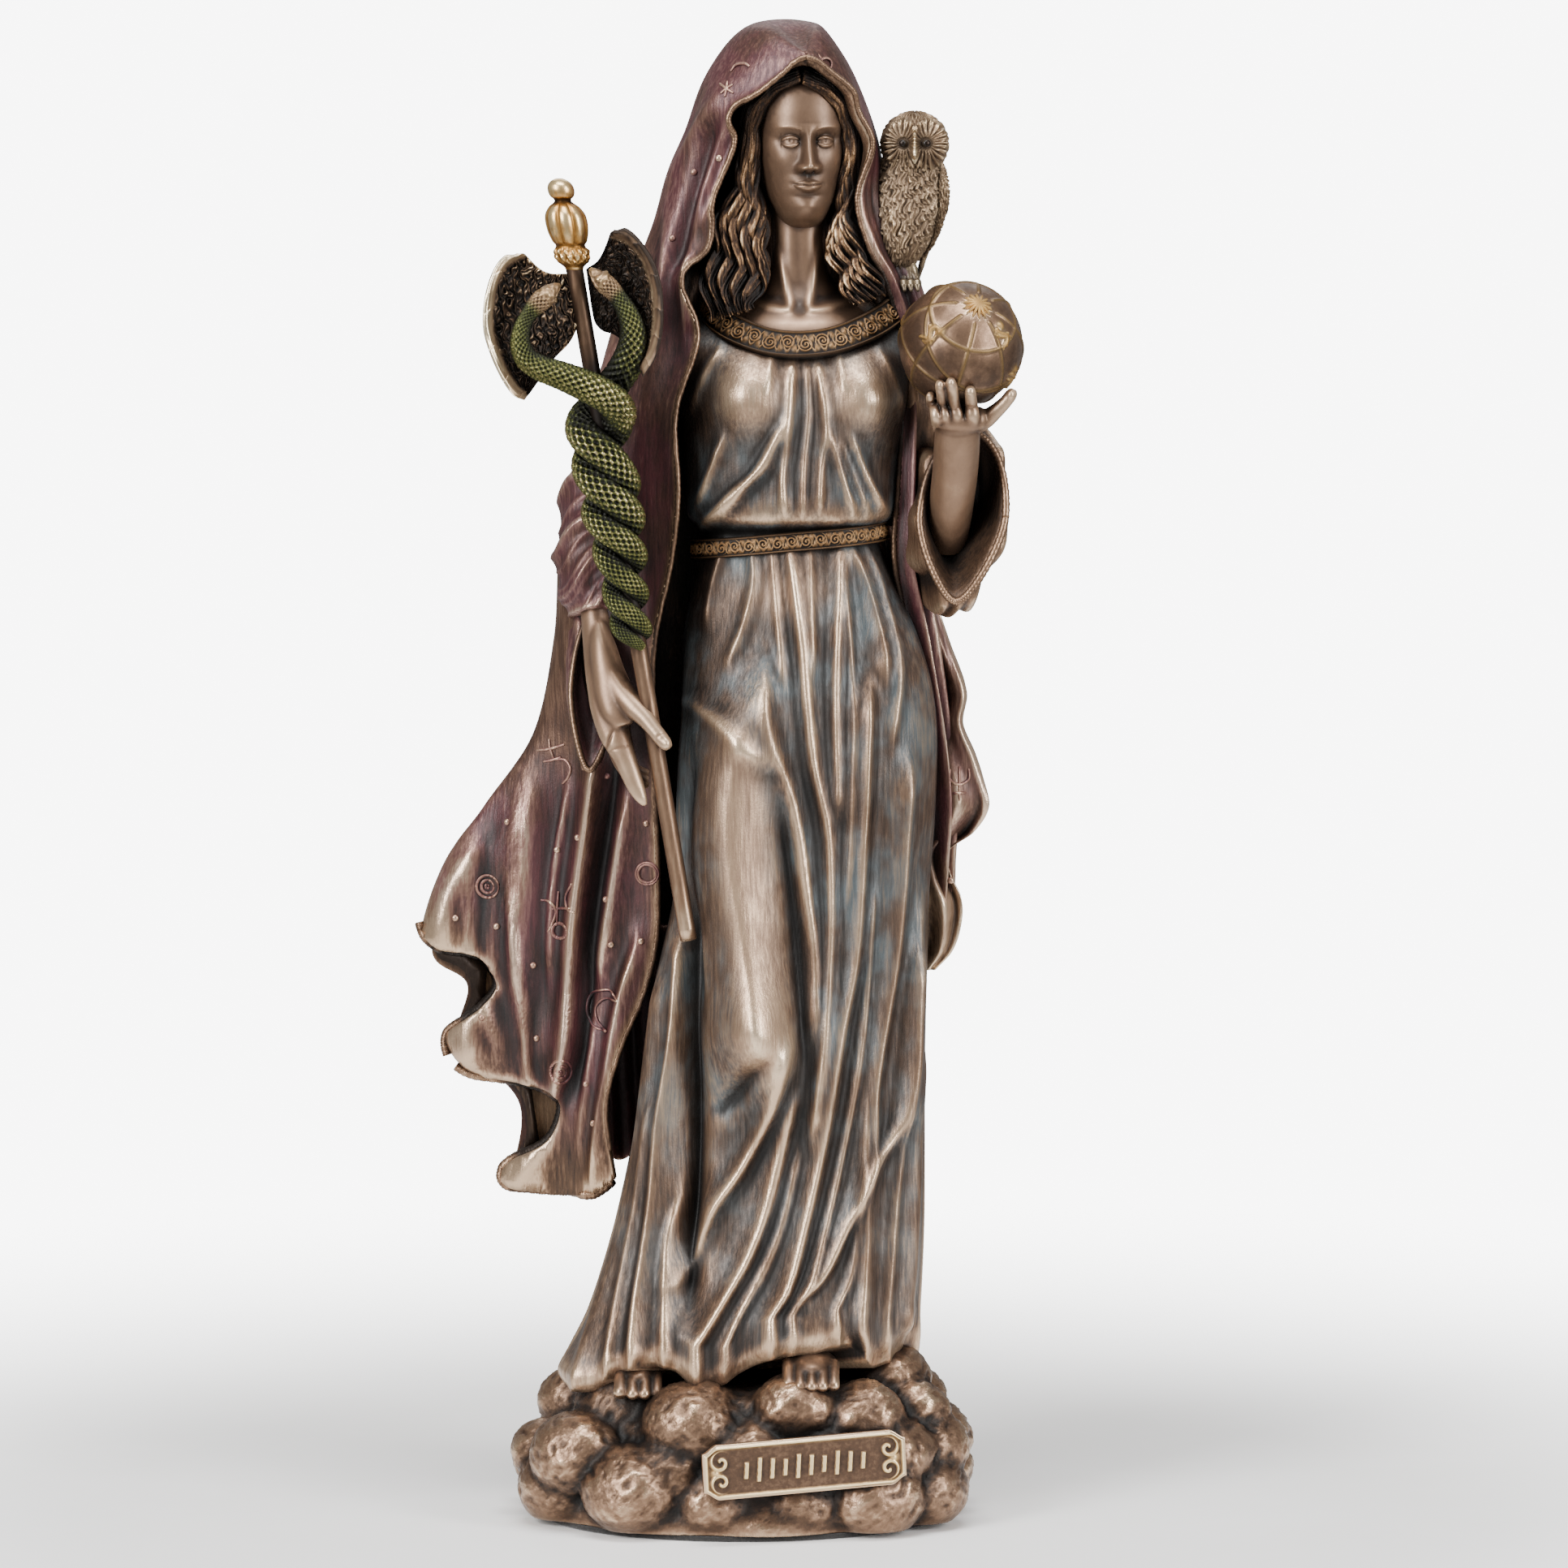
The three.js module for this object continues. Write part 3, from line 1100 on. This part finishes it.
function owlSolid(grow) {
  const { x, y, footZ, high } = owl
  const at = (side, deep, up, rx, ry, rz, round = 10, tall = 8) => (
    ball(x + side, y + deep, footZ + up * high, rx + grow, ry + grow, rz + grow, round, tall)
  )
  const body = limb([
    [x - 1.6, y + 0.6, footZ + 0.1 * high, 1.8 + grow, 2 + grow],
    [x - 1, y, footZ + 0.2 * high, 4.4 + grow, 4.6 + grow],
    [x - 0.6, y, footZ + 0.36 * high, 5.7 + grow, 5.6 + grow],
    [x, y + 0.2, footZ + 0.52 * high, 6.1 + grow, 5.6 + grow],
    [x + 0.4, y, footZ + 0.66 * high, 5.8 + grow, 5.2 + grow],
    [x + 0.7, y - 0.4, footZ + 0.78 * high, 5 + grow, 5 + grow],
  ], 16, 14)
  const parts = [body, at(0.9, -0.8, 0.82, 6.5, 5.8, 6, 16, 12)]
  parts.push(at(-1.4, -5.4, 0.845, 2.7, 1.6, 2.9, 8, 5), at(3.6, -5.2, 0.845, 2.7, 1.6, 2.9, 8, 5))
  parts.push(at(1.2, -7, 0.8, 0.8, 1.1, 1.9, 6, 5))
  parts.push(at(-1.4, -6.6, 0.85, 0.8, 0.8, 0.8, 5, 4), at(3.7, -6.3, 0.85, 0.8, 0.8, 0.8, 5, 4))
  for (const side of [-1, 1]) {
    for (let i = 0; i < 3; i += 1) {
      parts.push(at(side * (5.2 - 0.5 * i) - 0.4, 0.8 + i * 0.4, 0.55 - 0.11 * i, 1.7, 3.6 - 0.5 * i,
          5.2 - 0.6 * i, 6, 5))
    }
    for (let i = 0; i < 3; i += 1) {
      const toeX = x - 0.4 + side * 2.6 + (i - 1) * 1.2
      parts.push(limb([
        [x - 0.4 + side * 2, y - 1, footZ + 4.4, 1.3 + grow, 1.3 + grow],
        [toeX, y - 2.4, footZ + 1.6, 0.75 + grow, 0.75 + grow],
        [toeX + 0.3, y - 4.2, footZ, 0.4 + grow, 0.4 + grow],
      ], 4, 2))
    }
  }
  parts.push(limb([
    [x - 1, y + 2, footZ + 7, 2.4 + grow, 1.4 + grow],
    [x - 2.2, y + 4.2, footZ + 1, 2.2 + grow, 1.1 + grow],
    [x - 2.6, y + 5.4, footZ - 3, 1.3 + grow, 0.8 + grow],
  ], 7, 5))
  return unite(parts)
}

// The globe: its raised lines run out from the sun near the top and are crossed by two rings.
const globePole = vec(0.16, -0.6, 0.78).normalize()

function globeSolid(grow) {
  const rays = 6
  const line = 0.045
  const lineHigh = 0.35
  const turns = []
  for (let i = 0; i < rays; i += 1) {
    const start = (i / rays) * 2 * Math.PI
    turns.push([start - line, 0], [start, 1], [start + line, 0], [start + Math.PI / rays, 0])
  }
  const tilts = [[0.1, -1], [0.28, 0], [0.6, 0], [0.9, 0], [0.945, 1], [0.99, 0], [1.37, 0], [1.75, 0],
      [1.795, 1],
    [1.84, 0], [2.3, 0], [2.8, 0]]
  const spin = new THREE.Quaternion().setFromUnitVectors(vec(0, 0, 1), globePole)
  const rings = tilts.map(([tilt, onRing]) => turns.map(([turn, onRay]) => {
    const raised = onRing < 0 ? 0.9 : Math.max(onRing, onRay) * 1
    const away = globe.radius + grow + lineHigh * raised
    return vec(Math.sin(tilt) * Math.cos(turn), Math.sin(tilt) * Math.sin(turn), Math.cos(tilt))
      .multiplyScalar(away)
      .applyQuaternion(spin)
      .add(vec(globe.x, globe.y, globe.z))
  }))
  return solid(ringSkin(rings))
}

// The nameplate, with raised rim, scrolled ends and a row of plain strokes

function plateShape(shrink) {
  const long = plate.long / 2 - shrink
  const high = plate.high / 2 - shrink
  const notch = 2.2
  const shape = new THREE.Shape()
  shape.moveTo(-long + notch, -high)
  shape.lineTo(long - notch, -high)
  shape.quadraticCurveTo(long - notch * 0.3, -high + 0.4, long - notch * 0.6, -high + notch)
  shape.quadraticCurveTo(long + 0.4, 0, long - notch * 0.6, high - notch)
  shape.quadraticCurveTo(long - notch * 0.3, high - 0.4, long - notch, high)
  shape.lineTo(-long + notch, high)
  shape.quadraticCurveTo(-long + notch * 0.3, high - 0.4, -long + notch * 0.6, high - notch)
  shape.quadraticCurveTo(-long - 0.4, 0, -long + notch * 0.6, -high + notch)
  shape.quadraticCurveTo(-long + notch * 0.3, -high + 0.4, -long + notch, -high)
  return shape
}

function stand(geometry) {
  geometry.rotateX(Math.PI / 2)
  geometry.rotateY(-plate.roll)
  geometry.rotateZ(plate.turn)
  geometry.translate(plate.x, plate.y, plate.z)
  return outward(geometry)
}

function plateSolid(grow) {
  const settings = { depth: plate.thick + 2 * grow, bevelEnabled: false, curveSegments: 2 }
  const blank = new THREE.ExtrudeGeometry(plateShape(-grow), settings)
  blank.translate(0, 0, -plate.thick / 2 - grow)
  let body = solid(stand(blank))
  if (grow > 0) return body
  const recess = new THREE.ExtrudeGeometry(plateShape(0.9), { depth: 1, bevelEnabled: false,
      curveSegments: 2 })
  recess.translate(0, 0, plate.thick / 2 - 0.5)
  body = body.subtract(solid(stand(recess)))
  const strokes = 9
  for (let i = 0; i < strokes; i += 1) {
    const stroke = new THREE.BoxGeometry(0.9, 3.4 + 1.2 * ((i * 2) % 3), 1)
    stroke.translate((i - (strokes - 1) / 2) * 2.6, 0, plate.thick / 2 - 0.7)
    body = body.add(solid(stand(stroke)))
  }
  return body
}

function pad() {
  const outline = new THREE.Shape()
  outline.absellipse(base.x, base.y, base.halfWide * 0.95, base.halfDeep * 0.95, 0, 2 * Math.PI)
  const geometry = new THREE.ExtrudeGeometry(outline, { depth: padThick, bevelEnabled: false,
      curveSegments: 14 })
  return outward(geometry)
}

// A block below a height, to cut a piece flat
function blockBelow(z) {
  const block = new THREE.BoxGeometry(300, 300, 100)
  block.translate(0, 0, z - 50)
  return solid(outward(block))
}

const owlForm = mergeVertices(thinned(outerSkin(owlSolid(0)), owlTriangles))

function goddess() {
  const parts = [robe(), ...collarAndBelt(), head(), neck(), ...hair(), fall(), drape(), ...rightArm(),
    ...leftArm(), ...feet(), ...clouds()]
  const whole = unite(parts).add(mantle())
  return solid(thinned(outerSkin(whole), goddessTriangles))
    .subtract(blockBelow(castBottom))
    .subtract(caduceus(gap))
    .subtract(owlSolid(gap))
    .subtract(solid(owlForm))
    .subtract(globeSolid(gap))
    .subtract(plateSolid(gap))
}

function piece(name, geometry, finish) {
  geometry.computeVertexNormals()
  const mesh = new THREE.Mesh(geometry, new THREE.MeshStandardMaterial(finish))
  mesh.name = name
  return mesh
}

const group = new THREE.Group()
group.add(piece('goddess', outerSkin(goddess()), bronze))
group.add(piece('caduceus', thinned(outerSkin(caduceus(0)), caduceusTriangles), greenBronze))
group.add(piece('owl', owlForm.toNonIndexed(), darkBronze))
group.add(piece('globe', outerSkin(globeSolid(0)), bronze))
group.add(piece('nameplate', outerSkin(plateSolid(0)), gilt))
group.add(piece('felt_pad', pad(), blackFelt))

export default group
